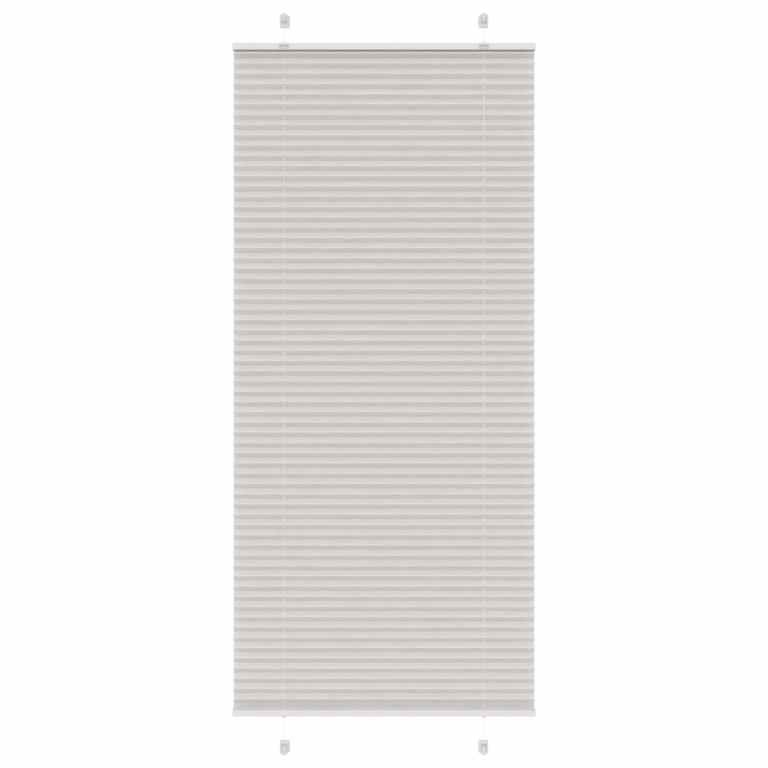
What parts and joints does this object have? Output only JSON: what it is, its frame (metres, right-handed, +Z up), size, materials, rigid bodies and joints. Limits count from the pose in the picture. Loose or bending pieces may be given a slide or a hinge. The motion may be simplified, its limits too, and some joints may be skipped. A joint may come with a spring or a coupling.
{
  "type": "pleated blind",
  "caption": "Tensioned-cord pleated window blind with two sliding rails, folded fabric between them and screwed tension shoes above and below.",
  "frame": {"origin": "middle of the four fixing screws, on the face of the window frame that the shoe bases are screwed to", "axes": "+Z up, +X to the right seen from the room, +Y into the window frame, so the blind hangs at negative Y and its front faces -Y"},
  "size_m": [0.45, 0.04, 1.1036],
  "materials": {
    "pleated_polyester": "woven polyester, light warm grey, permanently pleated",
    "coated_aluminium": "off-white powder coat, satin",
    "white_cap": "moulded, satin",
    "white_guide": "moulded, smooth",
    "white_shoe": "moulded, smooth",
    "base_plastic": "moulded, milky",
    "clear_plastic_strip": "extruded, milky",
    "zinc_steel": "zinc plated",
    "braided_cord": "fine braided polyester, white"
  },
  "bodies": {
    "window_side": {"tension_shoe_upper_left": "white_shoe", "shoe_base_upper_left": "base_plastic", "tension_shoe_upper_right": "white_shoe", "shoe_base_upper_right": "base_plastic", "tension_shoe_lower_left": "white_shoe", "shoe_base_lower_left": "base_plastic", "tension_shoe_lower_right": "white_shoe", "shoe_base_lower_right": "base_plastic", "fixing_screws": "zinc_steel", "cord_left": "braided_cord", "cord_right": "braided_cord"},
    "head_rail_set": {"head_rail": "coated_aluminium", "head_rail_strip": "clear_plastic_strip", "head_rail_cap_left": "white_cap", "head_cord_guide_left": "white_guide", "head_eyelet_left": "white_guide", "head_rail_cap_right": "white_cap", "head_cord_guide_right": "white_guide", "head_eyelet_right": "white_guide", "pleated_fabric": "pleated_polyester"},
    "bottom_rail_set": {"bottom_rail": "coated_aluminium", "bottom_rail_strip": "clear_plastic_strip", "bottom_rail_cap_left": "white_cap", "bottom_cord_guide_left": "white_guide", "bottom_eyelet_left": "white_guide", "bottom_rail_cap_right": "white_cap", "bottom_cord_guide_right": "white_guide", "bottom_eyelet_right": "white_guide"}
  },
  "joints": [
    {"name": "head_rail_slide", "type": "slide", "parent": "window_side", "child": "head_rail_set", "axis": [0, 0, -1], "range_m": [-0.02, 0.467], "deforming": ["pleated_fabric", "cord_left", "cord_right"]},
    {"name": "bottom_rail_slide", "type": "slide", "parent": "window_side", "child": "bottom_rail_set", "axis": [0, 0, 1], "range_m": [-0.033, 0.467], "deforming": ["pleated_fabric", "cord_left", "cord_right"]}
  ]
}
